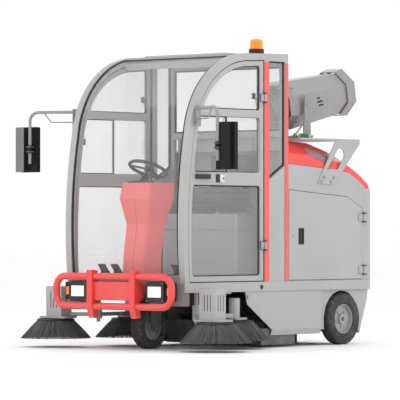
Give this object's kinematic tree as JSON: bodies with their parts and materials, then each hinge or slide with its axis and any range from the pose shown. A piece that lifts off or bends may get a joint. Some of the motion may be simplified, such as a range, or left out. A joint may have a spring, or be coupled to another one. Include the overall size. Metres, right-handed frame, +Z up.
{
  "type": "ride-on sweeper",
  "caption": "Ride-on street sweeper with a glazed cab, tube bumper, lifting side brushes, a main roller and a mist cannon on the rear hood.",
  "frame": {"origin": "on the floor, under the middle of the machine's box", "axes": "+Z up, -Y is the machine's front, +X is its own left side"},
  "size_m": [2.184, 2.8459, 2.412],
  "materials": {
    "grey_paint": "semi-gloss powder coat",
    "taupe_paint": "semi-gloss powder coat",
    "red_paint": "gloss powder coat",
    "red_plastic": "painted moulding, gloss",
    "red_trim": "gloss film",
    "arm_paint": "satin dark grey",
    "black_plastic": "fine grained, matt",
    "grip_plastic": "soft grained",
    "battery_case": "matt",
    "bristle": "dense nylon bristles",
    "tyre_rubber": "worn rubber",
    "rubber": "matt sheet",
    "rim_paint": "satin",
    "dark_steel": "satin",
    "zinc_steel": "zinc plated",
    "fan_aluminium": "cast",
    "seat_vinyl": "grained vinyl",
    "clear_glass": "clear safety glass",
    "lamp_lens": "clear lens",
    "amber_lens": "amber lens"
  },
  "bodies": {
    "chassis": {"chassis_frame": "grey_paint", "nose_panel": "taupe_paint", "rear_axle": "dark_steel", "cab_frame": "grey_paint", "roof_panel": "grey_paint", "cab_glass": "clear_glass", "trim_strips": "red_trim", "hinge_pins": "black_plastic", "steering_cowl": "red_plastic", "seat_base": "grey_paint", "body_panels": "grey_paint", "hood": "red_plastic", "side_skirts": "grey_paint", "rubber_flaps": "rubber", "batteries": "battery_case", "dust_hopper": "grey_paint", "bumper_loop": "red_paint", "bumper_uprights": "red_paint", "headlight_housings": "black_plastic", "lamp_lenses": "lamp_lens", "cannon_bracket": "grey_paint", "beacon_base": "black_plastic", "beacon_lens": "amber_lens", "mirror_arm_left": "arm_paint", "mirror_arm_right": "arm_paint"},
    "steering_wheel": {"steering_wheel": "grip_plastic"},
    "front_fork": {"front_fork": "dark_steel"},
    "front_wheel": {"front_tyre": "tyre_rubber", "front_rim": "rim_paint"},
    "brake_pedal": {"brake_pedal": "black_plastic"},
    "drive_pedal": {"drive_pedal": "black_plastic"},
    "flap_pedal": {"flap_pedal": "black_plastic"},
    "seat": {"seat_cushion": "seat_vinyl", "seat_back": "seat_vinyl"},
    "main_roller": {"main_roller": "bristle"},
    "cannon_yoke": {"cannon_yoke": "grey_paint"},
    "cannon_barrel": {"cannon_barrel": "grey_paint"},
    "cannon_fan": {"cannon_fan": "fan_aluminium"},
    "rear_wheel_left": {"rear_tyre_left": "tyre_rubber", "rear_rim_left": "rim_paint"},
    "door_left": {"door_frame_left": "grey_paint", "door_glass_left": "clear_glass"},
    "sliding_pane_left": {"sliding_pane_left": "clear_glass"},
    "door_handle_left": {"door_handle_left": "black_plastic"},
    "service_door_left": {"service_door_left": "grey_paint"},
    "brush_carrier_left": {"brush_carrier_left": "grey_paint"},
    "outer_brush_left": {"outer_brush_left": "bristle"},
    "inner_brush_left": {"inner_brush_left": "bristle"},
    "mirror_head_left": {"mirror_head_left": "black_plastic"},
    "rear_wheel_right": {"rear_tyre_right": "tyre_rubber", "rear_rim_right": "rim_paint"},
    "door_right": {"door_frame_right": "grey_paint", "door_glass_right": "clear_glass"},
    "sliding_pane_right": {"sliding_pane_right": "clear_glass"},
    "door_handle_right": {"door_handle_right": "black_plastic"},
    "service_door_right": {"service_door_right": "grey_paint"},
    "brush_carrier_right": {"brush_carrier_right": "grey_paint"},
    "outer_brush_right": {"outer_brush_right": "bristle"},
    "inner_brush_right": {"inner_brush_right": "bristle"},
    "mirror_head_right": {"mirror_head_right": "black_plastic"}
  },
  "joints": [
    {"name": "steer", "type": "hinge", "parent": "chassis", "child": "front_fork", "pos_m": [0, -0.972, 0.465], "axis": [0, 0, 1], "range_deg": [-50, 50]},
    {"name": "steering_wheel_turn", "type": "hinge", "parent": "chassis", "child": "steering_wheel", "pos_m": [0, -0.986, 1.385], "axis": [0, 0.4067, 0.9135], "range_deg": [-251, 251]},
    {"name": "front_wheel_spin", "type": "hinge", "parent": "front_fork", "child": "front_wheel", "pos_m": [0, -0.972, 0.165], "axis": [1, 0, 0], "continuous": true},
    {"name": "seat_slide", "type": "slide", "parent": "chassis", "child": "seat", "axis": [0, -1, 0], "range_m": [0, 0.12]},
    {"name": "main_roller_spin", "type": "hinge", "parent": "chassis", "child": "main_roller", "pos_m": [0, 0.064, 0.166], "axis": [1, 0, 0], "continuous": true},
    {"name": "cannon_slew", "type": "hinge", "parent": "chassis", "child": "cannon_yoke", "pos_m": [0, 0.7, 1.64], "axis": [0, 0, 1], "range_deg": [-120, 120]},
    {"name": "cannon_tilt", "type": "hinge", "parent": "cannon_yoke", "child": "cannon_barrel", "pos_m": [0, 0.7, 1.93], "axis": [1, 0, 0], "range_deg": [-12, 35]},
    {"name": "cannon_fan_spin", "type": "hinge", "parent": "cannon_barrel", "child": "cannon_fan", "pos_m": [0, 0.7, 1.93], "axis": [0, 0.9848, 0.1736], "continuous": true},
    {"name": "brake_pedal_press", "type": "hinge", "parent": "chassis", "child": "brake_pedal", "pos_m": [-0.354, -1.12, 0.548], "axis": [1, 0, 0], "range_deg": [0, 18], "stiffness_Nm_per_rad": 12, "springref_deg": -5.73},
    {"name": "drive_pedal_press", "type": "hinge", "parent": "chassis", "child": "drive_pedal", "pos_m": [-0.222, -1.12, 0.548], "axis": [1, 0, 0], "range_deg": [0, 18], "stiffness_Nm_per_rad": 12, "springref_deg": -5.73},
    {"name": "flap_pedal_press", "type": "hinge", "parent": "chassis", "child": "flap_pedal", "pos_m": [0.39, -1.12, 0.548], "axis": [1, 0, 0], "range_deg": [0, 18], "stiffness_Nm_per_rad": 12, "springref_deg": -5.73},
    {"name": "rear_wheel_left_spin", "type": "hinge", "parent": "chassis", "child": "rear_wheel_left", "pos_m": [0.556, 0.707, 0.205], "axis": [1, 0, 0], "continuous": true},
    {"name": "door_left_swing", "type": "hinge", "parent": "chassis", "child": "door_left", "pos_m": [0.613, -0.304, 0.795], "axis": [0, 0, 1], "range_deg": [0, 95]},
    {"name": "sliding_pane_left_slide", "type": "slide", "parent": "door_left", "child": "sliding_pane_left", "axis": [0, -1, 0], "range_m": [0, 0.28]},
    {"name": "door_handle_left_turn", "type": "hinge", "parent": "door_left", "child": "door_handle_left", "pos_m": [0.595, -0.985, 1.32], "axis": [1, 0, 0], "range_deg": [0, 35], "stiffness_Nm_per_rad": 1.5, "springref_deg": -20.05},
    {"name": "service_door_left_swing", "type": "hinge", "parent": "chassis", "child": "service_door_left", "pos_m": [0.613, 0.962, 0.594], "axis": [0, 0, 1], "range_deg": [0, 100]},
    {"name": "brush_carrier_left_lift", "type": "slide", "parent": "chassis", "child": "brush_carrier_left", "axis": [0, 0, 1], "range_m": [-0.066, 0.01]},
    {"name": "outer_brush_left_spin", "type": "hinge", "parent": "brush_carrier_left", "child": "outer_brush_left", "pos_m": [0.815, -1.147, 0.25], "axis": [0, 0, 1], "continuous": true},
    {"name": "inner_brush_left_spin", "type": "hinge", "parent": "brush_carrier_left", "child": "inner_brush_left", "pos_m": [0.535, -0.589, 0.25], "axis": [0, 0, 1], "continuous": true},
    {"name": "mirror_head_left_swivel", "type": "hinge", "parent": "chassis", "child": "mirror_head_left", "pos_m": [0.955, -1.294, 1.545], "axis": [0, 0, 1], "range_deg": [-35, 35]},
    {"name": "rear_wheel_right_spin", "type": "hinge", "parent": "chassis", "child": "rear_wheel_right", "pos_m": [-0.556, 0.707, 0.205], "axis": [1, 0, 0], "continuous": true},
    {"name": "door_right_swing", "type": "hinge", "parent": "chassis", "child": "door_right", "pos_m": [-0.613, -0.304, 0.795], "axis": [0, 0, -1], "range_deg": [0, 95]},
    {"name": "sliding_pane_right_slide", "type": "slide", "parent": "door_right", "child": "sliding_pane_right", "axis": [0, -1, 0], "range_m": [0, 0.28]},
    {"name": "door_handle_right_turn", "type": "hinge", "parent": "door_right", "child": "door_handle_right", "pos_m": [-0.595, -0.985, 1.32], "axis": [1, 0, 0], "range_deg": [0, 35], "stiffness_Nm_per_rad": 1.5, "springref_deg": -20.05},
    {"name": "service_door_right_swing", "type": "hinge", "parent": "chassis", "child": "service_door_right", "pos_m": [-0.613, 0.962, 0.594], "axis": [0, 0, -1], "range_deg": [0, 100]},
    {"name": "brush_carrier_right_lift", "type": "slide", "parent": "chassis", "child": "brush_carrier_right", "axis": [0, 0, 1], "range_m": [-0.066, 0.01]},
    {"name": "outer_brush_right_spin", "type": "hinge", "parent": "brush_carrier_right", "child": "outer_brush_right", "pos_m": [-0.815, -1.147, 0.25], "axis": [0, 0, -1], "continuous": true},
    {"name": "inner_brush_right_spin", "type": "hinge", "parent": "brush_carrier_right", "child": "inner_brush_right", "pos_m": [-0.535, -0.589, 0.25], "axis": [0, 0, -1], "continuous": true},
    {"name": "mirror_head_right_swivel", "type": "hinge", "parent": "chassis", "child": "mirror_head_right", "pos_m": [-0.955, -1.294, 1.545], "axis": [0, 0, -1], "range_deg": [-35, 35]}
  ],
  "couplings": [
    {"joint": "steering_wheel_turn", "follows": "steer", "ratio": 5}
  ]
}
